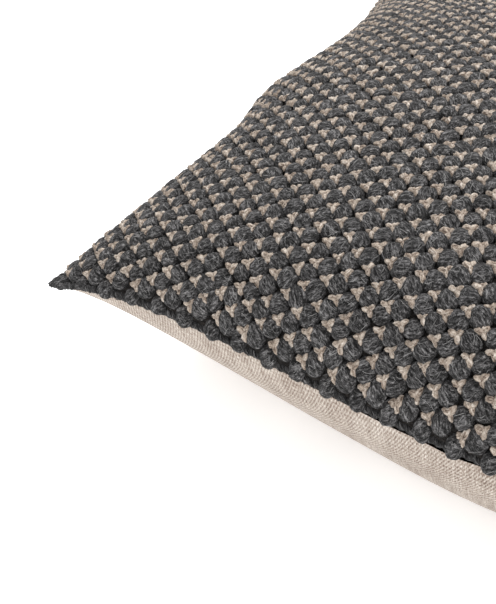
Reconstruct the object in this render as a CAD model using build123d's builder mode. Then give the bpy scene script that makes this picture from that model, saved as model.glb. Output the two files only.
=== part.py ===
"""Square throw pillow: a zipped cover with a bobble-weave front and a plain back, over a filled insert.

Frame: +Z up, origin under the middle of the pillow on the surface it lies on.
The cover's zip is in the seam on the +Y side.
"""

import os
from math import cos, exp, log, pi, sin, sqrt

from build123d import *

os.makedirs("parts", exist_ok=True)

# ---------------------------------------------------------------- driving dimensions, in mm
half_width = 241.0  # middle of the pillow to the imagined sharp corner, along X or Y
side_pull = 0.1  # how far the sides draw in between the corners, as a share of half_width
free_side_power = 2  # a plain side draws in along a parabola
zip_side_power = 16  # the zip keeps its side straight almost to the corners
seam_height = 92.0  # the seam's plane above the surface the pillow lies on
front_rise = 81.0  # the front's crown above the seam
front_roundness = 0.5
back_drop = 118.0  # how deep the back would bulge if nothing flattened it
back_roundness = 0.42
middle_shift = 5.8  # puts the middle of the bounding box on the origin, as the zip side's ears are shorter
corner_level = 0.004  # the level line that is the seam; a smaller one has sharper corners
crown_level = 0.97  # the level line where the crown becomes a flat cap
outline_points = 12  # points that each quarter of a level line needs
thread_points = 14  # the same for the thin threads, which need closer points to stay sound
section_count = 8  # level lines from the seam to the crown

front_wall = 4.0  # bobble weave
back_wall = 1.5  # plain weave
thread_inset = 0.5  # the seam's stitch line, in from the edge
thread_size = 0.6

insert_inset = 20.0  # the insert's edge, in from the cover's edge
insert_clearance = 0.6
ticking_wall = 1.2

zip_length = 350.0
lip_thickness = 1.4  # the turned edges of the panels that hide the zip
slit_half_gap = 0.95
channel_half_height = 3.9
zip_depth = 6.4  # the tapes' middle plane, in from the edge of the lips
tape_thickness = 0.6
tape_reach = 7.0  # tape's outer edge, up or down from the seam plane
coil_gap = 0.6  # half the space between the two coils
coil_height = 1.7
coil_thickness = 1.4
coil_rounding = 0.5

slider_length = 9.0
slider_plate = 0.8
slider_side = 0.8
slider_clearance = 0.3
slider_web = 0.6  # thickness of the wedge between the two plates
slider_corner = 1.2  # rounding of the plates' corners; the side walls stay clear of it
wedge_start = 0.5  # the wedge's near end, from the slider's middle
wedge_end = 3.0
bridge_thickness = 1.2
bridge_radius = 2.0
pivot_reach = 2.5  # the pull's pivot, out from the edge of the lips
pivot_pin_radius = 0.78
pivot_hole_radius = 0.85
pull_length = 24.0
pull_width = 7.0
pull_thickness = 1.0
pull_arm_gap = 0.3
pull_overhang = 1.2  # how far the tab reaches past its pin
pull_corner = 1.0
eye_clearance = 0.8  # free space between the bridge and the closed end of the tab's eye
slot_length = 6.0
slot_width = 2.4
slot_setback = 5.0  # the slot's middle, in from the tab's free end
pin_setback = 0.6  # the pin's ends, in from the tab's sides
stop_length = 3.0
stop_setback = 5.0  # the stops' outer faces, in from the ends of the zip
slider_rest_gap = 1.0  # space between the closed slider and the top stops
channel_clearance = 0.6  # space behind the slider's inner plate
slit_overcut = 2.0
stop_rounding = 0.3
stop_wrap = 0.5  # how far a stop reaches behind its tape
stitch_distance = 5.6  # the tapes' stitch lines, up or down from the seam plane
stitch_outer_depth = 2.2  # how far under the edge of the lips the stitches stay

# ---------------------------------------------------------------- worked-out places
edge_y = middle_shift + half_width * (1 - side_pull) * sqrt(1 - corner_level)
tape_y = edge_y - zip_depth
tape_half = tape_thickness / 2
coil_top = coil_gap + coil_height
zip_end = zip_length / 2
stop_x = zip_end - stop_setback
coil_end = stop_x - stop_length
slider_x = coil_end - slider_length / 2 - slider_rest_gap
pivot_y = edge_y + pivot_reach
inner_plate_y = tape_y - tape_half - slider_clearance - slider_plate
channel_inner_y = inner_plate_y - channel_clearance
lip_y = edge_y - lip_thickness


# ---------------------------------------------------------------- the pillow's own surface
def plan_point(u, v, width):
    """Place a point of the square -1..1 by -1..1 in plan, with the sides drawn in."""
    power = zip_side_power if v > 0 else free_side_power
    x = width * u * (1 - side_pull * (1 - v**2))
    y = width * v * (1 - side_pull * (1 - abs(u) ** power))
    return (x, y + middle_shift)


def quarter_points(level, width, side_u, side_v, count):
    """Points of one quarter of the line where (1 - u*u) * (1 - v*v) equals level."""
    spread = -log(level)
    points = []
    for i in range(count):
        turn = pi / 2 * i / (count - 1)
        u = side_u * sqrt(1 - exp(-spread * sin(turn) ** 2))
        v = side_v * sqrt(1 - exp(-spread * cos(turn) ** 2))
        points.append(plan_point(u, v, width))
    return points


def level_outline(level, width, count=outline_points):
    """Draw a closed level line as four splines that meet at the middles of the sides."""
    for side_u in (1, -1):
        for side_v in (1, -1):
            points = quarter_points(level, width, side_u, side_v, count)
            Spline(*points, tangents=[(side_u, 0), (0, -side_v)])


def pillow_half(width, rise, roundness, direction, limit=None):
    """Loft one half of the pillow from the seam plane up (1) or down (-1), flat where limit cuts it."""
    seam_share = corner_level**roundness
    reach = rise * (crown_level**roundness - seam_share) / (1 - seam_share)
    if limit is not None:
        reach = min(reach, limit)
    with BuildPart() as half:
        for i in range(section_count):
            height = reach * sin(pi / 2 * i / (section_count - 1)) ** 2
            level = (seam_share + (1 - seam_share) * height / rise) ** (1 / roundness)
            with BuildSketch(Plane.XY.offset(seam_height + direction * height)):
                with BuildLine():
                    level_outline(level, width)
                make_face()
        loft(ruled=True)
    return half.part


def stitch_ring(inset):
    """A closed line of thread in the seam plane, in from the edge by inset."""
    outer_width = half_width - inset
    with BuildPart() as ring:
        for width, mode in ((outer_width, Mode.ADD), (outer_width - thread_size, Mode.SUBTRACT)):
            with BuildSketch(Plane.XY.offset(seam_height - thread_size / 2)):
                with BuildLine():
                    level_outline(corner_level, width, thread_points)
                make_face()
            extrude(amount=thread_size, mode=mode)
    return ring.part


def block(x_range, y_range, z_range):
    """A plain block between two corners; z counts from the seam plane."""
    with BuildPart() as box:
        with Locations(
            (
                (x_range[0] + x_range[1]) / 2,
                (y_range[0] + y_range[1]) / 2,
                seam_height + (z_range[0] + z_range[1]) / 2,
            )
        ):
            Box(x_range[1] - x_range[0], y_range[1] - y_range[0], z_range[1] - z_range[0])
    return box.part


def save(part, name):
    """Label one finished piece and write it."""
    part.label = name
    export_step(part, f"parts/{name}.step")


# ---------------------------------------------------------------- spaces cut for the zip
zip_span = (-zip_end, zip_end)
zip_channel = block(zip_span, (channel_inner_y, lip_y), (-channel_half_height, channel_half_height))
zip_slit = block(zip_span, (lip_y, edge_y + slit_overcut), (-slit_half_gap, slit_half_gap))
front_tape_shape = block(zip_span, (tape_y - tape_half, tape_y + tape_half), (coil_gap, tape_reach))
back_tape_shape = block(zip_span, (tape_y - tape_half, tape_y + tape_half), (-tape_reach, -coil_gap))

# ---------------------------------------------------------------- cover: seam thread
cover_stitches = stitch_ring(thread_inset)
zip_gap = block(zip_span, (tape_y, edge_y + slit_overcut), (-thread_size, thread_size))
with BuildPart() as cover_seam_thread:
    add(cover_stitches)
    add(zip_gap, mode=Mode.SUBTRACT)
save(cover_seam_thread.part, "cover_seam_thread")

# ---------------------------------------------------------------- cover: front panel
front_outer = pillow_half(half_width, front_rise, front_roundness, 1)
front_inner = pillow_half(half_width - front_wall, front_rise - front_wall, front_roundness, 1)
with BuildPart() as front_cover_panel:
    add(front_outer)
    add(front_inner, mode=Mode.SUBTRACT)
    add(zip_channel, mode=Mode.SUBTRACT)
    add(zip_slit, mode=Mode.SUBTRACT)
    add(front_tape_shape, mode=Mode.SUBTRACT)
save(front_cover_panel.part, "front_cover_panel")

# ---------------------------------------------------------------- cover: back panel
back_outer = pillow_half(half_width, back_drop, back_roundness, -1, limit=seam_height)
back_inner = pillow_half(
    half_width - back_wall,
    back_drop - back_wall,
    back_roundness,
    -1,
    limit=seam_height - back_wall,
)
with BuildPart() as back_cover_panel:
    add(back_outer)
    add(back_inner, mode=Mode.SUBTRACT)
    add(zip_channel, mode=Mode.SUBTRACT)
    add(zip_slit, mode=Mode.SUBTRACT)
save(back_cover_panel.part, "back_cover_panel")

# ---------------------------------------------------------------- insert: ticking, thread and fill
ticking_width = half_width - insert_inset
front_ticking_rise = front_rise - front_wall - insert_clearance
back_ticking_drop = back_drop - back_wall - insert_clearance
back_ticking_limit = seam_height - back_wall - insert_clearance
insert_stitches = stitch_ring(insert_inset + ticking_wall / 4)

with BuildPart() as insert_seam_thread:
    add(insert_stitches)
save(insert_seam_thread.part, "insert_seam_thread")

front_ticking_outer = pillow_half(ticking_width, front_ticking_rise, front_roundness, 1)
front_ticking_inner = pillow_half(
    ticking_width - ticking_wall, front_ticking_rise - ticking_wall, front_roundness, 1
)
with BuildPart() as insert_front_ticking:
    add(front_ticking_outer)
    add(front_ticking_inner, mode=Mode.SUBTRACT)
save(insert_front_ticking.part, "insert_front_ticking")

back_ticking_outer = pillow_half(
    ticking_width, back_ticking_drop, back_roundness, -1, limit=back_ticking_limit
)
back_ticking_inner = pillow_half(
    ticking_width - ticking_wall,
    back_ticking_drop - ticking_wall,
    back_roundness,
    -1,
    limit=back_ticking_limit - ticking_wall,
)
with BuildPart() as insert_back_ticking:
    add(back_ticking_outer)
    add(back_ticking_inner, mode=Mode.SUBTRACT)
save(insert_back_ticking.part, "insert_back_ticking")

fill_margin = ticking_wall + insert_clearance
fill_width = ticking_width - fill_margin
front_fill = pillow_half(fill_width, front_ticking_rise - fill_margin, front_roundness, 1)
back_fill = pillow_half(
    fill_width,
    back_ticking_drop - fill_margin,
    back_roundness,
    -1,
    limit=back_ticking_limit - fill_margin,
)
with BuildPart() as insert_fill:
    add(front_fill)
    add(back_fill)
save(insert_fill.part, "insert_fill")

# ---------------------------------------------------------------- zip: tapes
with BuildPart() as zip_tape_front:
    add(front_tape_shape)
save(zip_tape_front.part, "zip_tape_front")

with BuildPart() as zip_tape_back:
    add(back_tape_shape)
save(zip_tape_back.part, "zip_tape_back")

# ---------------------------------------------------------------- zip: coils
coil_y = tape_y + tape_half


def coil(direction):
    """One row of coil turns, as a rounded bar on its tape."""
    low, high = sorted((direction * coil_gap, direction * coil_top))
    with BuildPart() as row:
        add(block((-coil_end, coil_end), (coil_y, coil_y + coil_thickness), (low, high)))
        fillet(row.edges().filter_by(Axis.X).group_by(Axis.Y)[-1], radius=coil_rounding)
    return row.part


with BuildPart() as zip_coil_front:
    add(coil(1))
save(zip_coil_front.part, "zip_coil_front")

with BuildPart() as zip_coil_back:
    add(coil(-1))
save(zip_coil_back.part, "zip_coil_back")

# ---------------------------------------------------------------- zip: stops
stop_face = coil_y + coil_thickness
stop_back = tape_y - tape_half - stop_wrap


def top_stop(direction):
    """A crimped stop on the end of one coil, open where its tape passes."""
    low, high = sorted((direction * coil_gap, direction * coil_top))
    tape = front_tape_shape if direction > 0 else back_tape_shape
    with BuildPart() as stop:
        add(block((stop_x - stop_length, stop_x), (stop_back, stop_face), (low, high)))
        add(tape, mode=Mode.SUBTRACT)
        fillet(stop.edges().filter_by(Axis.Z).group_by(Axis.Y)[-1], radius=stop_rounding)
    return stop.part


with BuildPart() as zip_top_stops:
    add(top_stop(1))
    add(top_stop(-1))
save(zip_top_stops.part, "zip_top_stops")

with BuildPart() as zip_bottom_stop:
    add(block((-stop_x, -coil_end), (stop_back, stop_face), (-coil_top, coil_top)))
    add(front_tape_shape, mode=Mode.SUBTRACT)
    add(back_tape_shape, mode=Mode.SUBTRACT)
    fillet(zip_bottom_stop.edges().filter_by(Axis.Z).group_by(Axis.Y)[-1], radius=stop_rounding)
save(zip_bottom_stop.part, "zip_bottom_stop")

# ---------------------------------------------------------------- zip: stitches that hold the tapes
stitch_y = (tape_y - tape_half - thread_size, edge_y - stitch_outer_depth)
stitch_end = stitch_distance + thread_size
with BuildPart() as zip_stitching:
    add(block(zip_span, stitch_y, (stitch_distance, stitch_end)))
    add(block(zip_span, stitch_y, (-stitch_end, -stitch_distance)))
save(zip_stitching.part, "zip_stitching")

# ---------------------------------------------------------------- zip: slider
outer_plate_y = coil_y + coil_thickness + slider_clearance
slider_half_height = coil_top + slider_clearance + slider_side
slider_span = (slider_x - slider_length / 2, slider_x + slider_length / 2)
side_span = (coil_top + slider_clearance, slider_half_height)
side_low_y = tape_y + tape_half + slider_clearance

with BuildPart() as zip_slider:
    add(
        block(
            slider_span,
            (outer_plate_y, outer_plate_y + slider_plate),
            (-slider_half_height, slider_half_height),
        )
    )
    add(
        block(
            slider_span,
            (inner_plate_y, inner_plate_y + slider_plate),
            (-slider_half_height, slider_half_height),
        )
    )
    fillet(zip_slider.edges().filter_by(Axis.Y), radius=slider_corner)
    for direction in (1, -1):
        low, high = sorted((direction * side_span[0], direction * side_span[1]))
        side_x = (slider_span[0] + slider_corner, slider_span[1] - slider_corner)
        add(block(side_x, (side_low_y, outer_plate_y), (low, high)))
    wedge_x = (slider_x + wedge_start, slider_x + wedge_end)
    wedge_half = slider_web / 2
    add(block(wedge_x, (inner_plate_y, outer_plate_y + slider_plate), (-wedge_half, wedge_half)))
    neck_half = bridge_thickness / 2
    neck_x = (slider_x - bridge_radius, slider_x + bridge_radius)
    add(block(neck_x, (outer_plate_y, pivot_y), (-neck_half, neck_half)))
    with BuildSketch(Plane.XY.offset(seam_height - neck_half)):
        with Locations((slider_x, pivot_y)):
            Circle(bridge_radius)
    extrude(amount=bridge_thickness)
    with BuildSketch(Plane.XY.offset(seam_height - neck_half)):
        with Locations((slider_x, pivot_y)):
            Circle(pivot_hole_radius)
    extrude(amount=bridge_thickness, mode=Mode.SUBTRACT)
save(zip_slider.part, "zip_slider")

# ---------------------------------------------------------------- zip: pull tab
arm_low = bridge_thickness / 2 + pull_arm_gap
arm_high = pull_width / 2
eye_length = bridge_radius + eye_clearance
pull_side = Plane((slider_x, pivot_y - pull_thickness / 2, seam_height), x_dir=(-1, 0, 0), z_dir=(0, 1, 0))
with BuildPart() as zip_pull:
    with BuildSketch(pull_side):
        with Locations(((pull_length - pull_overhang) / 2, 0)):
            RectangleRounded(pull_length + pull_overhang, pull_width, pull_corner)
        with Locations((eye_length / 2 - pull_overhang, 0)):
            Rectangle(eye_length + 2 * pull_overhang, 2 * arm_low, mode=Mode.SUBTRACT)
        with Locations((pull_length - slot_setback, 0)):
            SlotOverall(slot_length, slot_width, mode=Mode.SUBTRACT)
    extrude(amount=pull_thickness)
    with BuildSketch(Plane.XY.offset(seam_height - arm_high + pin_setback)):
        with Locations((slider_x, pivot_y)):
            Circle(pivot_pin_radius)
    extrude(amount=2 * (arm_high - pin_setback))
save(zip_pull.part, "zip_pull")

print("edge of the zip side", round(edge_y, 2), "slider at", slider_x, "pivot", round(pivot_y, 2))
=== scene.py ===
"""Looks of the square throw pillow: bobble-weave front, linen back, zip and insert.

Frame: metres, +Z up, origin under the middle of the pillow on the surface it lies on.
The camera sees the corner at -X, -Y; the zip is in the seam on the +Y side.
"""

import math

import bpy
import numpy as np
from mathutils import Matrix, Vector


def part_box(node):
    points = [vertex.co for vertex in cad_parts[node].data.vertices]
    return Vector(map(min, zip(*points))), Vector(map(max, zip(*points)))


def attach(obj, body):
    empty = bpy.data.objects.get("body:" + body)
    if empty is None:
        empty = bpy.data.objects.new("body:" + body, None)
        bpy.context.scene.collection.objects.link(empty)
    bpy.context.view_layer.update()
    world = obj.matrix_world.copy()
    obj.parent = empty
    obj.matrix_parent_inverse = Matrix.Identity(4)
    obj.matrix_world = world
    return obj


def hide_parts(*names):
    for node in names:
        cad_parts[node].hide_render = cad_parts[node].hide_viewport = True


MM = 0.001

# ---------------------------------------------------------------- sizes, in mm unless a name says otherwise
FABRIC = 500.0  # cut width of a panel between its seams
FAR_REACH = 0.96  # the far corners, from the middle, as a share of the half width
SEAM_MARGIN = 4.0  # the imagined sharp corners, out from the CAD cover's box
SIDE_PULL = 0.1  # how far the near side draws in, as a share of the half width
END_PULL = 0.125  # the same for the left and right sides
ZIP_SIDE_POWER = 16
ZIP_PULL = 0.072  # how far the zip's side draws in, all along the zip
CORNER_LEVEL = 0.0022
SIDE_DROOP = 17.0  # the middles of the left and right seams, below their corners
CORNER_LIFT = 3.0  # the near corners, above the middle of the near seam
SEAM_WAVE = 15.0  # the near seam's rise between its middle and its corners
START_RISE = 70.0  # crown of each panel before it is blown up
BACK_PLUMPNESS = 0.7  # below 1, the back falls away more steeply from the seam
BACK_DROP = 130.0  # how deep the back would bulge if it didn't rest on the floor
FLOOR_SOFTNESS = 4.0  # how gently the back turns into its flat patch
FRONT_SMOOTHING = 25  # passes
BACK_SMOOTHING = 120
VOLUME = 0.026  # cubic metres of filling that the cloth is blown up to
OUTLINE_SAMPLES = 4001
GRID = 72  # cells along each side of the simulated panels
FRAMES = 60
PIN_FROM = 3  # the zip's stiff side is held, up to so many points from its corners
ZIP_REACH = 205.0  # the panels are shaped for the zip up to here from the middle
ZIP_DEPTH = 75.0  # and up to here from the zip's side
ZIP_FADE = 25.0  # how far that shaping takes to fade out
FRONT_GAP = 2.2  # the front panel's edge, above the zip's middle
BACK_GAP = 1.2
TAPE_COVER = 13.0  # how high the panels stand over the zip's tapes
TAPE_RISE = 4.0

PITCH = 19.7  # two columns of bobbles
ROW_SHARE = 0.368  # half the space between bobbles in a column, as a share of PITCH
LATTICE_MARGIN = 4.0  # free cloth along the seams
BOBBLE_RADII = (6.1, 6.9)
BOBBLE_RISE = 4.4
BOBBLE_SINK = 1.2
CROWN_CLEARANCE = 3.52  # the front's ground cloth, below the top of the CAD cover
KNOT_LIFT = 3.1
KNOT_OFFSET = -6.7  # the beige knot, from the middle of its bobble towards -X
KNOT_SIDE_MARGIN = 6.0  # the left seam's strip without knots
KNOT_MARGIN = 8.0  # the strip without knots, from the seams to their bobbles
FIBRES = 16  # loose fibres on each bobble
FIBRE_WIDTH = 0.024  # of a bobble's radius
FRONT_CELLS = 160  # cells along each side of the finished panels
BACK_CELLS = 200
EDGE_RADII = (2.4, 1.9)  # the yarn along the seam, across and up
EDGE_TWIST = 0.6  # radians per mm
EDGE_WOBBLE = 0.3
EDGE_SHIFT = (-1.0, 1.2)  # out from the seam, and up from it
EDGE_STEPS = 320  # along each side
SEED = 7

UP = np.array([0.0, 0.0, 1.0])
rng = np.random.default_rng(SEED)


# ---------------------------------------------------------------- mesh helpers
def make_mesh(name, points, faces, material, attributes):
    """Turn points in mm and a list or array of faces into a smooth piece that rides on the cushion."""
    mesh = bpy.data.meshes.new(name)
    points = np.asarray(points, float) * MM
    mesh.from_pydata(points.tolist(), [], [list(map(int, f)) for f in faces])
    for key, values in attributes.items():
        layer = mesh.attributes.new(key, "FLOAT_VECTOR", "POINT")
        layer.data.foreach_set("vector", np.asarray(values, np.float32).ravel())
    mesh.polygons.foreach_set("use_smooth", [True] * len(mesh.polygons))
    mesh.update()
    mesh.materials.append(material)
    piece = bpy.data.objects.new(name, mesh)
    bpy.context.collection.objects.link(piece)
    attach(piece, "cushion")
    return piece


def grid_faces(rows, columns, flip=False):
    """Quads between the points of a grid that is stored row by row."""
    start = np.arange(rows * columns).reshape(rows, columns)
    quads = np.stack([start[:-1, :-1], start[1:, :-1], start[1:, 1:], start[:-1, 1:]], -1).reshape(-1, 4)
    return quads[:, ::-1] if flip else quads


# ---------------------------------------------------------------- the filled cloth
def outline_point(u, v, half):
    """Place a point of the square's edge, -1..1, on the seam of the filled pillow."""
    power = np.where(v > 0, ZIP_SIDE_POWER, 2)
    x = half * u * (1 - END_PULL * (1 - v**2))
    y = half * v * (1 - np.where(v > 0, ZIP_PULL, SIDE_PULL) * (1 - np.abs(u) ** power))
    return x, y


def seam_side(count, side, half):
    """Evenly spaced points along one side of the rounded seam, from one corner's tip to the next."""
    tip = math.sqrt(1 - math.sqrt(CORNER_LEVEL))
    across = np.linspace(-tip, tip, OUTLINE_SAMPLES)
    away = np.sqrt(1 - CORNER_LEVEL / (1 - across**2))
    sides = {
        "left": (-away, across),
        "right": (away, across),
        "near": (across, -away),
        "far": (across, away),
    }
    u, v = sides[side]
    x, y = outline_point(u, v, half)
    run = np.concatenate([[0], np.cumsum(np.hypot(np.diff(x), np.diff(y)))])
    at = np.linspace(0, run[-1], count)
    return np.stack([np.interp(at, run, x), np.interp(at, run, y)], -1)


def start_shape(half, middle):
    """Both panels of the pillow before they are blown up, as grids of points in mm."""
    count = GRID + 1
    edges = np.zeros((count, count, 2))
    edges[0], edges[-1] = seam_side(count, "left", half), seam_side(count, "right", half)
    edges[:, 0], edges[:, -1] = seam_side(count, "near", half), seam_side(count, "far", half)
    plan = blend_edges(edges) + np.asarray(middle)
    u = np.linspace(-1, 1, count)
    crown = np.sqrt((1 - u[:, None] ** 2) * (1 - u[None, :] ** 2))
    front = np.concatenate([plan, (crown * START_RISE)[..., None]], -1)
    back = np.concatenate([plan, (-crown * START_RISE)[..., None]], -1)
    return front, back


def blow_up(front, back):
    """Fill the two sewn panels with pressure by cloth simulation; the seam on the zip's side is held, short
    of its corners.
    """
    count = GRID + 1
    inner = np.zeros((count, count), bool)
    inner[1:-1, 1:-1] = True
    front_index = np.arange(count * count).reshape(count, count)
    back_index = front_index.copy()
    back_index[inner] = count * count + np.arange(inner.sum())
    points = np.concatenate([front.reshape(-1, 3), back[inner]])
    flat_side = (np.arange(count) / GRID - 0.5) * FABRIC
    flat_s, flat_t = np.meshgrid(flat_side, flat_side, indexing="ij")
    flat_plan = np.stack([flat_s, flat_t, np.zeros((count, count))], -1)
    flat = np.concatenate([flat_plan.reshape(-1, 3), flat_plan[inner]])
    front_faces = grid_faces(count, count)
    back_faces = back_index.ravel()[grid_faces(count, count, flip=True)]
    mesh = bpy.data.meshes.new("filling_cloth")
    mesh.from_pydata((points * MM).tolist(), [], np.concatenate([front_faces, back_faces]).tolist())
    cloth = bpy.data.objects.new("filling_cloth", mesh)
    bpy.context.collection.objects.link(cloth)
    cloth.shape_key_add(name="Basis")
    key = cloth.shape_key_add(name="flat")
    key.data.foreach_set("co", (flat * MM).ravel())
    key.value = 0
    pin = cloth.vertex_groups.new(name="seam")
    pin.add([int(i) for i in front_index[PIN_FROM:-PIN_FROM, -1]], 1.0, "REPLACE")
    modifier = cloth.modifiers.new("blow_up", "CLOTH")
    settings = modifier.settings
    settings.quality = 6
    settings.mass = 0.3
    settings.tension_stiffness = 30
    settings.compression_stiffness = 8
    settings.shear_stiffness = 4
    settings.bending_stiffness = 4
    settings.tension_damping = 5
    settings.compression_damping = 5
    settings.shear_damping = 5
    settings.bending_damping = 0.5
    settings.air_damping = 3
    settings.use_pressure = True
    settings.uniform_pressure_force = 1
    settings.use_pressure_volume = True
    settings.target_volume = VOLUME
    settings.rest_shape_key = key
    settings.vertex_group_mass = "seam"
    settings.pin_stiffness = 1
    settings.effector_weights.gravity = 0
    modifier.collision_settings.use_collision = False
    modifier.point_cache.frame_start = 1
    modifier.point_cache.frame_end = FRAMES
    for frame_number in range(1, FRAMES + 1):
        bpy.context.scene.frame_set(frame_number)
    result = cloth.evaluated_get(bpy.context.evaluated_depsgraph_get())
    settled = np.empty(len(points) * 3)
    result.data.vertices.foreach_get("co", settled)
    settled = settled.reshape(-1, 3) / MM
    bpy.data.objects.remove(cloth)
    bpy.context.scene.frame_set(1)
    return settled[front_index], settled[back_index]


def blend_edges(edges):
    """Spread the four edge rows of a grid smoothly over its inside."""
    share = np.linspace(0, 1, len(edges))
    a, b = share[:, None, None], share[None, :, None]
    first, last, low, high = edges[0], edges[-1], edges[:, 0], edges[:, -1]
    spread = (1 - a) * first[None] + a * last[None] + (1 - b) * low[:, None] + b * high[:, None]
    corners = (1 - a) * (1 - b) * first[0] + (1 - a) * b * first[-1]
    return spread - corners - a * (1 - b) * last[0] - a * b * last[-1]


def draw_to_seam(panel_points, start):
    """Bring the blown-up cloth's edge back onto the seam's outline in plan, and its inside with it."""
    drawn = panel_points.copy()
    drawn[..., :2] += blend_edges((start - panel_points)[..., :2])
    return drawn


def smooth_out(panel_points, passes):
    """Soften small creases inside a panel; the edge rows stay."""
    smooth = panel_points.copy()
    for _ in range(passes):
        around = smooth[:-2, 1:-1] + smooth[2:, 1:-1] + smooth[1:-1, :-2] + smooth[1:-1, 2:]
        smooth[1:-1, 1:-1] = (smooth[1:-1, 1:-1] + around / 4) / 2
    return smooth


def lie_down(front, back, seam_height, top):
    """Give the blown-up cloth the pillow's heights, and flatten what rests on the floor."""
    front = front.copy()
    back = back.copy()
    front[..., 2] *= (top - seam_height) / front[..., 2].max()
    depth = np.clip(back[..., 2] / back[..., 2].min(), 0, 1)
    back[..., 2] = -BACK_DROP * depth**BACK_PLUMPNESS
    side = np.linspace(-1, 1, GRID + 1)
    droop = SIDE_DROOP * side[:, None] ** 2 * (1 - side[None, :] ** 2)
    across = side[:, None] ** 2
    lift = (CORNER_LIFT * across + SEAM_WAVE * 4 * across * (1 - across)) * ((1 - side[None, :]) / 2) ** 4
    front[..., 2] += seam_height - droop + lift
    back[..., 2] += seam_height - droop + lift
    back[..., 2] = FLOOR_SOFTNESS * np.logaddexp(0, back[..., 2] / FLOOR_SOFTNESS)
    back[..., 2] -= back[..., 2].min()
    return front, back


def make_room_for_zip(front, back, seam_height):
    """Round both panels out over the zip's tapes, and part their edges where the slider runs."""
    for panel_points, side, gap in ((front, 1, FRONT_GAP), (back, -1, BACK_GAP)):
        share = np.clip((ZIP_REACH - np.abs(panel_points[..., 0])) / ZIP_FADE, 0, 1)
        inward = np.maximum(panel_points[:, -1:, 1] - panel_points[..., 1], 0)
        share = share * np.clip((ZIP_DEPTH - inward) / ZIP_FADE, 0, 1)
        least = share * (gap + TAPE_COVER * (1 - np.exp(-inward / TAPE_RISE)))
        rise = side * (panel_points[..., 2] - seam_height)
        rise = np.where(share > 0, np.maximum(rise, least), rise)
        panel_points[..., 2] = seam_height + side * rise


class Cloth:
    """A smooth surface over a grid of points; s and t are places on the flat cloth, 0 to FABRIC."""

    def __init__(self, points):
        padded = np.pad(points, ((1, 1), (1, 1), (0, 0)))
        padded[0] = 2 * padded[1] - padded[2]
        padded[-1] = 2 * padded[-2] - padded[-3]
        padded[:, 0] = 2 * padded[:, 1] - padded[:, 2]
        padded[:, -1] = 2 * padded[:, -2] - padded[:, -3]
        self.points = padded
        self.cells = len(points) - 1

    def _weights(self, place):
        at = np.clip(place / FABRIC * self.cells, 0, self.cells)
        cell = np.minimum(at.astype(int), self.cells - 1)
        f = at - cell
        third = -3 * f**3 + 3 * f**2 + 3 * f + 1
        value = np.stack([(1 - f) ** 3, 3 * f**3 - 6 * f**2 + 4, third, f**3], -1) / 6
        slope = np.stack([-((1 - f) ** 2), 3 * f**2 - 4 * f, -3 * f**2 + 2 * f + 1, f**2], -1) / 2
        return cell, value, slope * self.cells / FABRIC

    def at(self, s, t):
        """Place, and the steps along s and t, of points on the cloth."""
        i, a, da = self._weights(np.asarray(s, float))
        j, b, db = self._weights(np.asarray(t, float))
        place = along = across = 0
        for m in range(4):
            for n in range(4):
                p = self.points[i + m, j + n]
                place = place + (a[..., m] * b[..., n])[..., None] * p
                along = along + (da[..., m] * b[..., n])[..., None] * p
                across = across + (a[..., m] * db[..., n])[..., None] * p
        return place, along, across


def unit(vectors):
    """The same directions with length 1."""
    return vectors / np.maximum(np.linalg.norm(vectors, axis=-1, keepdims=True), 1e-9)


# ---------------------------------------------------------------- materials
class Nodes:
    """A short way to write a node material."""

    def __init__(self, name):
        self.material = bpy.data.materials.new(name)
        self.material.use_nodes = True
        self.tree = self.material.node_tree
        self.shader = self.tree.nodes["Principled BSDF"]

    def add(self, kind, **values):
        node = self.tree.nodes.new(kind)
        for key, value in values.items():
            if key in node.inputs:
                self.put(value, node.inputs[key])
            else:
                setattr(node, key, value)
        return node

    def put(self, value, socket):
        if isinstance(value, bpy.types.NodeSocket):
            self.tree.links.new(value, socket)
        else:
            socket.default_value = value

    def set(self, name, value):
        self.put(value, self.shader.inputs[name])

    def ramp(self, factor, stops):
        node = self.add("ShaderNodeValToRGB", Fac=factor)
        elements = node.color_ramp.elements
        while len(elements) < len(stops):
            elements.new(0.5)
        for element, (place, color) in zip(elements, stops):
            element.position = place
            element.color = (*color, 1)
        return node.outputs["Color"]

    def noise(self, vector, scale, detail=3.0, roughness=0.6):
        node = self.add("ShaderNodeTexNoise", Vector=vector, Scale=scale, Detail=detail, Roughness=roughness)
        return node.outputs["Fac"]

    def stretch(self, vector, scale, rotation=(0, 0, 0)):
        node = self.add("ShaderNodeMapping", Vector=vector, Scale=scale, Rotation=rotation)
        return node.outputs["Vector"]

    def math(self, operation, a, b=0.0):
        node = self.tree.nodes.new("ShaderNodeMath")
        node.operation = operation
        self.put(a, node.inputs[0])
        self.put(b, node.inputs[1])
        return node.outputs[0]

    def bump(self, height, distance, strength=1.0):
        node = self.add("ShaderNodeBump", Height=height, Distance=distance, Strength=strength)
        self.put(node.outputs["Normal"], self.shader.inputs["Normal"])


def object_place(look):
    """The place of a point in the frame, in mm."""
    geometry = look.add("ShaderNodeTexCoord")
    return look.stretch(geometry.outputs["Object"], (1 / MM, 1 / MM, 1 / MM))


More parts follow.
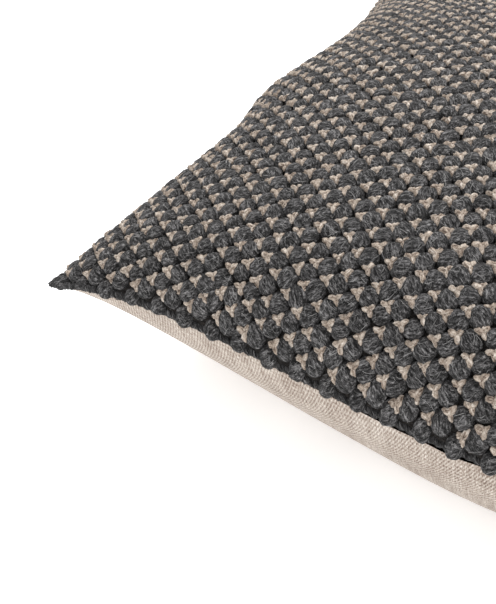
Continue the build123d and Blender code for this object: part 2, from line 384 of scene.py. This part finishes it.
def wool_look(name, stops, streak=1.0):
    """Twisted wool: streaks along the fibre, painted shade in the gaps between strands where the bump is
    lowest, and a soft sheen.
    """
    look = Nodes(name)
    fibre = look.add("ShaderNodeAttribute", attribute_name="fibre").outputs["Vector"]
    fine = look.noise(look.stretch(fibre, (0.32, 0.85, 0.85)), 1.0, 3.0, 0.8)
    strand = look.noise(look.stretch(fibre, (0.1, 0.4, 0.4)), 1.0, 2.0, 0.5)
    tone = look.math("ADD", look.math("MULTIPLY", fine, 0.75), look.math("MULTIPLY", strand, 0.25))
    color = look.ramp(tone, stops)
    look.set("Base Color", color)
    look.set("Roughness", 0.95)
    look.set("Specular IOR Level", 0.15)
    look.set("Sheen Weight", 0.08)
    look.set("Sheen Roughness", 0.5)
    look.bump(tone, 3.0 * MM * streak, 1.0)
    return look.material


# Charcoal wool: the near-black low stops are painted shade in the gaps between strands; the upper stops are
# the wool's own greys.
CHARCOAL_AND_GAP_SHADE = (
    (0.4, (0.004, 0.0038, 0.0038)),
    (0.47, (0.024, 0.023, 0.0232)),
    (0.52, (0.07, 0.0675, 0.068)),
    (0.58, (0.17, 0.164, 0.165)),
    (0.65, (0.4, 0.39, 0.388)),
)
# Beige yarn: the darkest stop is painted shade between strands; the others are the yarn's own beige.
BEIGE_AND_GAP_SHADE = (
    (0.36, (0.08, 0.055, 0.042)),
    (0.45, (0.34, 0.265, 0.21)),
    (0.53, (0.56, 0.47, 0.39)),
    (0.63, (0.82, 0.74, 0.66)),
)

# Ground cloth between the bobbles: its near-black colour is painted shade, standing in for the shade among
# the bobbles.
GROUND_PAINTED_SHADE = (
    (0.3, (0.006, 0.005, 0.005)),
    (0.5, (0.025, 0.022, 0.02)),
    (0.7, (0.07, 0.06, 0.052)),
)


def hair_look():
    """Single wool fibres, from near black to pale grey."""
    look = Nodes("wool_fuzz")
    fibre = look.add("ShaderNodeAttribute", attribute_name="fibre").outputs["Vector"]
    tone = look.noise(fibre, 0.37, 1.0, 0.5)
    stops = ((0.38, (0.01, 0.0097, 0.0097)), (0.5, (0.1, 0.097, 0.097)), (0.62, (0.42, 0.41, 0.405)))
    look.set("Base Color", look.ramp(tone, stops))
    look.set("Roughness", 0.8)
    look.set("Specular IOR Level", 0.2)
    return look.material


def linen_look():
    """Beige linen: crossing threads with slubs, flecks of darker and pinkish yarn."""
    look = Nodes("back_linen")
    cloth = look.add("ShaderNodeAttribute", attribute_name="cloth").outputs["Vector"]
    split = look.add("ShaderNodeSeparateXYZ", Vector=cloth)
    threads = 1.0
    warp = look.math("SINE", look.math("MULTIPLY", split.outputs["X"], threads * 2 * math.pi))
    twill_place = look.math("ADD", split.outputs["X"], split.outputs["Y"])
    twill = look.math("SINE", look.math("MULTIPLY", twill_place, threads * math.pi))
    slub = look.noise(look.stretch(cloth, (0.9, 0.06, 1)), 1.0, 3.0, 0.6)
    weft_slub = look.noise(look.stretch(cloth, (0.05, 1.1, 1)), 1.0, 3.0, 0.6)
    fleck = look.noise(look.stretch(cloth, (1.3, 0.9, 1)), 1.0, 2.0, 0.7)
    broad = look.noise(cloth, 0.035, 2.0, 0.5)
    tone = look.math("ADD", look.math("MULTIPLY", slub, 0.25), look.math("MULTIPLY", weft_slub, 0.2))
    tone = look.math("ADD", tone, look.math("MULTIPLY", fleck, 0.45))
    tone = look.math("ADD", tone, look.math("MULTIPLY", broad, 0.1))
    tone = look.math("ADD", tone, look.math("MULTIPLY", twill, 0.04))
    stops = (
        (0.4, (0.17, 0.118, 0.09)),
        (0.46, (0.35, 0.28, 0.23)),
        (0.53, (0.5, 0.43, 0.37)),
        (0.61, (0.76, 0.7, 0.635)),
    )
    look.set("Base Color", look.ramp(tone, stops))
    look.set("Roughness", 0.9)
    look.set("Specular IOR Level", 0.2)
    look.set("Sheen Weight", 0.1)
    height = look.math("ADD", look.math("MULTIPLY", twill, 0.5), look.math("MULTIPLY", warp, 0.35))
    height = look.math("ADD", height, look.math("MULTIPLY", tone, 2.0))
    look.bump(height, 0.12 * MM, 0.8)
    return look.material


def woven_look(name, stops, threads=1.6, rough=0.85):
    """A plain close weave for tapes, ticking and thread."""
    look = Nodes(name)
    place = object_place(look)
    split = look.add("ShaderNodeSeparateXYZ", Vector=place)
    first = look.math("SINE", look.math("MULTIPLY", split.outputs["X"], threads * 2 * math.pi))
    level = look.math("ADD", split.outputs["Y"], split.outputs["Z"])
    second = look.math("SINE", look.math("MULTIPLY", level, threads * 2 * math.pi))
    cross = look.math("MULTIPLY", first, second)
    grain = look.noise(look.stretch(place, (0.8, 0.8, 0.8)), 1.0, 4.0, 0.6)
    look.set("Base Color", look.ramp(grain, stops))
    look.set("Roughness", rough)
    look.bump(look.math("ADD", cross, grain), 0.08 * MM, 0.7)
    return look.material


def metal_look(name):
    """Satin nickel with fine brushing and slightly worn edges."""
    look = Nodes(name)
    place = object_place(look)
    brush = look.noise(look.stretch(place, (0.5, 12.0, 12.0)), 1.0, 3.0, 0.6)
    wear = look.noise(place, 0.6, 4.0, 0.6)
    look.set("Base Color", look.ramp(wear, ((0.35, (0.5, 0.49, 0.47)), (0.65, (0.66, 0.65, 0.63)))))
    look.set("Metallic", 1.0)
    look.set("Roughness", look.math("ADD", look.math("MULTIPLY", brush, 0.18), 0.22))
    look.bump(brush, 0.01 * MM, 0.4)
    return look.material


def fibre_fill_look(name):
    """Loose white fibre."""
    look = Nodes(name)
    place = object_place(look)
    clumps = look.noise(place, 0.08, 5.0, 0.7)
    look.set("Base Color", look.ramp(clumps, ((0.3, (0.8, 0.8, 0.79)), (0.7, (0.95, 0.95, 0.94)))))
    look.set("Roughness", 1.0)
    look.set("Sheen Weight", 0.3)
    look.bump(clumps, 3 * MM, 0.8)
    return look.material


# ---------------------------------------------------------------- bobbles, knots and edge
def lattice():
    """Cloth places of every bobble, column by column, each column half a step on from the last."""
    half = PITCH / 2
    step = 2 * ROW_SHARE * PITCH
    columns = int((FABRIC - 2 * LATTICE_MARGIN) / half)
    start = (FABRIC - (columns - 1) * half) / 2
    places = []
    for i in range(columns):
        t = LATTICE_MARGIN + (step / 2 if i % 2 else 0)
        while t < FABRIC - LATTICE_MARGIN:
            places.append((start + i * half, t, i))
            t += step
    return np.array(places)


def dome(around, rings, reach):
    """Unit dome, a ball open below, as directions and faces; reach is its opening angle in degrees."""
    angle = np.radians(reach) * (np.arange(1, rings + 1) / rings)
    turn = 2 * np.pi * np.arange(around) / around
    ring = np.stack(
        [
            np.sin(angle)[:, None] * np.cos(turn),
            np.sin(angle)[:, None] * np.sin(turn),
            np.cos(angle)[:, None] * np.ones(around),
        ],
        -1,
    ).reshape(-1, 3)
    points = np.concatenate([[[0, 0, 1]], ring])
    faces = [(0, 1 + k, 1 + (k + 1) % around, 1 + (k + 1) % around) for k in range(around)]
    for r in range(rings - 1):
        low = 1 + r * around
        for k in range(around):
            n = (k + 1) % around
            faces.append((low + k, low + around + k, low + around + n, low + n))
    return points, np.array(faces)


def stamp(points, faces, count):
    """Faces of count copies of one small mesh."""
    return (faces[None] + (np.arange(count) * points)[:, None, None]).reshape(-1, 4)


def lay_on_cloth(cloth, s, t, offsets, lift):
    """Carry small shapes from the flat cloth onto the filled one. offsets: copies, points, 3."""
    place, along, across = cloth.at(s, t)
    normal = unit(np.cross(along, across))
    out = place[:, None] + offsets[..., 0:1] * along[:, None] + offsets[..., 1:2] * across[:, None]
    return out + (offsets[..., 2:3] + lift) * normal[:, None]


def triangles(faces):
    """Drop the repeated corner of a cap's three-cornered faces."""
    return [f[:3] if f[2] == f[3] else f for f in faces]


def fuzz(cloth, s, t, size, lean, material):
    """Loose fibres that curl over each bobble, as thin ribbons."""
    count = len(s) * FIBRES
    s, t, size, lean = (np.repeat(v, FIBRES) for v in (s, t, size, lean))
    heading = lean + rng.normal(0, 0.9, count)
    sway = rng.normal(0, 0.7, count)
    across = rng.uniform(-0.8, 0.8, count)
    first = rng.uniform(-1.1, 0.3, count)
    length = rng.uniform(0.4, 1.0, count)
    lift = rng.uniform(1.0, 1.1, count)
    steps = 4
    lines = []
    for k in range(steps):
        along = first + length * k / (steps - 1)
        side = across + sway * (k / (steps - 1)) ** 2
        for edge in (-FIBRE_WIDTH, FIBRE_WIDTH):
            u = np.sin(along)
            v = np.sin(np.clip(side, -1.3, 1.3)) * np.cos(along) + edge / 2
            flat = np.minimum(np.hypot(u, v), 0.98)
            height = np.sqrt(1 - flat**2) * lift + 0.05
            x = (u * np.cos(heading) - v * np.sin(heading)) * BOBBLE_RADII[0] * size * lift
            y = (u * np.sin(heading) + v * np.cos(heading)) * BOBBLE_RADII[1] * size * lift
            lines.append(np.stack([x, y, height * BOBBLE_RISE * size], -1))
    offsets = np.stack(lines, 1)
    points = lay_on_cloth(cloth, s, t, offsets, BOBBLE_SINK)
    ribbon = np.array([(2 * k, 2 * k + 1, 2 * k + 3, 2 * k + 2) for k in range(steps - 1)])
    far = np.repeat(rng.uniform(0, 900, count)[:, None], 2 * steps, 1)
    faces = stamp(2 * steps, ribbon, count)
    values = np.stack([far, far, far], -1)
    return make_mesh("wool_fuzz", points.reshape(-1, 3), faces, material, {"fibre": values.reshape(-1, 3)})


def weave(cloth, charcoal, beige, fibre_look):
    """The bobbles and, beside each, a beige knot of the ground yarn."""
    places = lattice()
    count = len(places)
    s, t, column = places.T
    edge = np.minimum.reduce([s, t, FABRIC - s, FABRIC - t])
    small = np.clip(0.75 + 0.25 * edge / 12.0, 0.75, 1)
    s = s + rng.normal(0, 0.45, count)
    t = t + rng.normal(0, 0.45, count)
    size = small * rng.normal(1, 0.05, count)

    shape, faces = dome(16, 9, 118)
    spin = rng.uniform(0, 2 * np.pi, (count, 3, 1))
    lumps = 1 + 0.035 * np.sin(3 * shape[None, :, 0] + 2 * shape[None, :, 2] + spin[:, 0])
    lumps += 0.035 * np.sin(4 * shape[None, :, 1] - shape[None, :, 0] * 2 + spin[:, 1])
    lumps += 0.02 * np.sin(9 * shape[None, :, 0] + 7 * shape[None, :, 1] + spin[:, 2])
    lumps += rng.normal(0, 0.025, lumps.shape)
    radii = np.array([BOBBLE_RADII[0], BOBBLE_RADII[1], BOBBLE_RISE])
    full = np.sign(shape) * np.abs(shape) ** 0.88
    offsets = full[None] * radii * (size[:, None] * lumps)[..., None]
    lean = np.where(column % 2 == 0, 1, -1) * np.radians(38) + rng.normal(0, 0.15, count)
    cos, sin = np.cos(lean)[:, None], np.sin(lean)[:, None]
    x, y, z = offsets[..., 0], offsets[..., 1], offsets[..., 2]
    far = rng.uniform(0, 900, (count, 1))
    fibre = np.stack([x * cos + y * sin + far, -x * sin + y * cos + far * 0.7, z + far * 0.3], -1)
    points = lay_on_cloth(cloth, s, t, offsets, BOBBLE_SINK)
    parts = 3
    pieces = []
    for k in range(parts):
        mine = np.arange(count)[k * count // parts : (k + 1) * count // parts]
        piece = make_mesh(
            f"bobbles_{k + 1}",
            points[mine].reshape(-1, 3),
            triangles(stamp(len(shape), faces, len(mine))),
            charcoal,
            {"fibre": fibre[mine].reshape(-1, 3)},
        )
        pieces.append(piece)

    pieces.append(fuzz(cloth, s, t, size, lean, fibre_look))

    lobe, lobe_faces = dome(9, 4, 100)
    lobes = []
    grains = []
    for angle, length in ((62, 2.4), (-62, 2.4), (180, 2.4)):
        turn = np.radians(angle) + rng.normal(0, 0.12, count)[:, None]
        bent = lobe * np.array([2.9, 1.85, 2.1])
        grow = rng.normal(1, 0.1, (count, 1))
        u = bent[None, :, 0] * grow + length * 0.75
        v = bent[None, :, 1] * grow
        dx = u * np.cos(turn) - v * np.sin(turn) + KNOT_OFFSET
        dy = u * np.sin(turn) + v * np.cos(turn)
        dz = np.broadcast_to(bent[None, :, 2], dx.shape) * grow
        ragged = rng.normal(0, 0.26, (3, *dx.shape))
        dx, dy, dz = dx + ragged[0], dy + ragged[1], dz + ragged[2]
        lobes.append(np.stack([dx, dy, dz], -1))
        grains.append(np.stack([u + far, v + far * 0.6, dz + angle], -1))
    keep = (s + KNOT_OFFSET > KNOT_SIDE_MARGIN) & (edge > KNOT_MARGIN)
    for k in range(len(lobes)):
        shown = lay_on_cloth(cloth, s[keep], t[keep], lobes[k][keep], KNOT_LIFT)
        piece = make_mesh(
            f"ground_knots_{k + 1}",
            shown.reshape(-1, 3),
            triangles(stamp(len(lobe), lobe_faces, int(keep.sum()))),
            beige,
            {"fibre": grains[k][keep].reshape(-1, 3)},
        )
        pieces.append(piece)
    return pieces


def panel(name, cloth, cells, material, flip=False):
    """A smooth sheet over the whole cloth; its attributes hold the flat places in mm."""
    side = np.linspace(0, FABRIC, cells + 1)
    s, t = np.meshgrid(side, side, indexing="ij")
    points, _, _ = cloth.at(s, t)
    flat = np.stack([s, t, np.zeros_like(s)], -1).reshape(-1, 3)
    faces = grid_faces(cells + 1, cells + 1, flip)
    return make_mesh(name, points.reshape(-1, 3), faces, material, {"cloth": flat, "fibre": flat})


def seam_loop(cloth):
    """Points along the whole seam, with the directions out of it."""
    quarter = np.linspace(0, FABRIC, EDGE_STEPS, endpoint=False)
    zero, full = np.zeros(EDGE_STEPS), np.full(EDGE_STEPS, FABRIC)
    s = np.concatenate([quarter, full, FABRIC - quarter, zero])
    t = np.concatenate([zero, quarter, full, FABRIC - quarter])
    place, _, _ = cloth.at(s, t)
    along = unit(np.roll(place, -1, 0) - np.roll(place, 1, 0))
    return place, unit(np.cross(along, UP))


def yarn_along_seam(name, cloth, material):
    """A closed yarn along the seam, oval in section, with a lumpy surface."""
    seam, outward = seam_loop(cloth)
    path = seam + EDGE_SHIFT[1] * UP + EDGE_SHIFT[0] * outward
    around = 12
    turn = 2 * np.pi * np.arange(around) / around
    run = np.concatenate([[0], np.cumsum(np.linalg.norm(np.diff(path, axis=0), axis=1))])
    phase = turn[None] + EDGE_TWIST * run[:, None]
    bulge = 1 + EDGE_WOBBLE * np.sin(2 * phase)
    bulge += EDGE_WOBBLE * 0.6 * np.sin(run[:, None] * 0.9 + 3 * turn[None])
    x = np.cos(turn)[None] * EDGE_RADII[0] * bulge
    z = np.sin(turn)[None] * EDGE_RADII[1] * bulge
    points = path[:, None] + x[..., None] * outward[:, None] + z[..., None] * UP
    fibre = np.stack([run[:, None] + 0 * phase, EDGE_RADII[0] * (phase % (2 * np.pi)), 0 * phase], -1)
    start = np.arange(len(path) * around).reshape(len(path), around)
    after = np.roll(start, -1, 0)
    faces = np.stack([start, after, np.roll(after, -1, 1), np.roll(start, -1, 1)], -1).reshape(-1, 4)
    return make_mesh(name, points.reshape(-1, 3), faces, material, {"fibre": fibre.reshape(-1, 3)})


# ---------------------------------------------------------------- stage
def flat_look(name, color, glow):
    """A plain matt surface with a very faint unevenness."""
    look = Nodes(name)
    place = object_place(look)
    grain = look.noise(place, 0.01, 2.0, 0.5)
    darker = tuple(c * 0.99 for c in color)
    look.set("Base Color", look.ramp(grain, ((0.3, darker), (0.7, color))))
    look.set("Roughness", 1.0)
    look.set("Specular IOR Level", 0.0)
    look.set("Emission Color", (1, 1, 1, 1))
    look.set("Emission Strength", glow)
    return look.material


LIGHT_DISTANCE = 1.8


def build_stage():
    """A pale floor, a bright surround and soft lights."""
    mesh = bpy.data.meshes.new("floor")
    reach = 6.0
    corners = [(-reach, -reach, 0), (reach, -reach, 0), (reach, reach, 0), (-reach, reach, 0)]
    mesh.from_pydata(corners, [], [(0, 1, 2, 3)])
    mesh.materials.append(flat_look("floor", (0.95, 0.95, 0.95), glow=0.35))
    floor = bpy.data.objects.new("floor", mesh)
    bpy.context.collection.objects.link(floor)
    world = bpy.data.worlds.new("surround")
    world.use_nodes = True
    world.node_tree.nodes["Background"].inputs["Color"].default_value = (1, 1, 1, 1)
    world.node_tree.nodes["Background"].inputs["Strength"].default_value = 0.95
    bpy.context.scene.world = world
    bpy.context.scene.view_settings.view_transform = "Standard"
    for name, azimuth, elevation, power, size in (
        ("key", 120, 50, 24, 1.2),
        ("fill", -20, 35, 8, 1.5),
    ):
        light = bpy.data.lights.new(name, "AREA")
        light.energy = power
        light.size = size
        lamp = bpy.data.objects.new(name, light)
        a, e = math.radians(azimuth), math.radians(elevation)
        heading = (math.cos(e) * math.cos(a), math.cos(e) * math.sin(a), math.sin(e))
        lamp.location = [LIGHT_DISTANCE * part for part in heading]
        direction = -lamp.location
        lamp.rotation_euler = direction.to_track_quat("-Z", "Y").to_euler()
        bpy.context.collection.objects.link(lamp)


def build_camera(seam_height):
    """The view of the near left corner."""
    azimuth, elevation, roll = math.radians(-49.4), math.radians(45.7), math.radians(-8.2)
    distance, lens = 0.471, 55.7
    target = np.array([-0.114, -0.180, seam_height * MM])
    back = np.array(
        [
            math.cos(elevation) * math.cos(azimuth),
            math.cos(elevation) * math.sin(azimuth),
            math.sin(elevation),
        ]
    )
    right = unit(np.cross(UP, back))
    up = np.cross(back, right)
    turned_right = math.cos(roll) * right + math.sin(roll) * up
    turned_up = np.cross(back, turned_right)
    data = bpy.data.cameras.new("camera")
    data.lens = lens
    data.sensor_width = 36
    data.sensor_fit = "HORIZONTAL"
    data.clip_start = 0.01
    camera = bpy.data.objects.new("camera", data)
    matrix = np.eye(4)
    matrix[:3, 0], matrix[:3, 1], matrix[:3, 2] = turned_right, turned_up, back
    matrix[:3, 3] = target + back * distance
    camera.matrix_world = Matrix(matrix.tolist())
    bpy.context.collection.objects.link(camera)
    bpy.context.scene.camera = camera


# ---------------------------------------------------------------- the scene
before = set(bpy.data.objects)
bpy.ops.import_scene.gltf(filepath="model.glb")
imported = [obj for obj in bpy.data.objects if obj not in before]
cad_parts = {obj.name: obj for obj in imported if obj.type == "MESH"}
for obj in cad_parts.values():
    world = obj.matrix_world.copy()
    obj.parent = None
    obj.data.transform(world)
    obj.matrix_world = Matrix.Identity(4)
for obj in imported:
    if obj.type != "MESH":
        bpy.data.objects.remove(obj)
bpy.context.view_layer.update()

cover_low, cover_high = (np.array(v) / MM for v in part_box("front_cover_panel"))
half_x = (cover_high[0] - cover_low[0]) / 2
seam_height = float(cover_low[2])
top = float(cover_high[2])

half = half_x + SEAM_MARGIN
middle = (0.0, cover_high[1] - half * FAR_REACH)

front, back = start_shape(half, middle)
start = front
front, back = blow_up(front, back)
front = smooth_out(draw_to_seam(front, start), FRONT_SMOOTHING)
back = smooth_out(draw_to_seam(back, start), BACK_SMOOTHING)
front, back = lie_down(front, back, seam_height, top - CROWN_CLEARANCE)
make_room_for_zip(front, back, seam_height)
front_cloth = Cloth(front)
back_cloth = Cloth(back)

charcoal = wool_look("charcoal_wool", CHARCOAL_AND_GAP_SHADE)
beige = wool_look("beige_yarn", BEIGE_AND_GAP_SHADE, streak=0.7)
ground = wool_look("ground_yarn_painted_shade", GROUND_PAINTED_SHADE)
linen = linen_look()
hair = hair_look()

# The ground panel's near-black colour is painted shade among the bobbles.
front_ground = panel("front_ground", front_cloth, FRONT_CELLS, ground)
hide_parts("front_cover_panel")

linen_back = panel("linen_back", back_cloth, BACK_CELLS, linen, flip=True)
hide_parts("back_cover_panel")

for piece in weave(front_cloth, charcoal, beige, hair):
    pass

edge_yarn = yarn_along_seam("edge_yarn", front_cloth, charcoal)
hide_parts("cover_seam_thread")

ticking = woven_look("ticking_cotton", ((0.3, (0.78, 0.77, 0.74)), (0.7, (0.9, 0.89, 0.86))))
tape = woven_look("tape_weave", ((0.3, (0.44, 0.38, 0.31)), (0.7, (0.56, 0.5, 0.42))))
coil = woven_look("coil_nylon", ((0.3, (0.46, 0.4, 0.34)), (0.7, (0.56, 0.5, 0.42))), 0.5, 0.4)
thread = woven_look("dark_thread", ((0.3, (0.07, 0.066, 0.066)), (0.7, (0.14, 0.13, 0.13))), 0.9)
metal = metal_look("satin_nickel")
fill = fibre_fill_look("loose_fibre")
node_looks = {
    "zip_tape_front": tape,
    "zip_tape_back": tape,
    "zip_coil_front": coil,
    "zip_coil_back": coil,
    "zip_top_stops": metal,
    "zip_bottom_stop": metal,
    "zip_stitching": thread,
    "zip_slider": metal,
    "zip_pull": metal,
    "insert_front_ticking": ticking,
    "insert_back_ticking": ticking,
    "insert_seam_thread": thread,
    "insert_fill": fill,
}
for node, look in node_looks.items():
    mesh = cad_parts[node].data
    mesh.materials.clear()
    mesh.materials.append(look)

build_stage()
build_camera(seam_height)
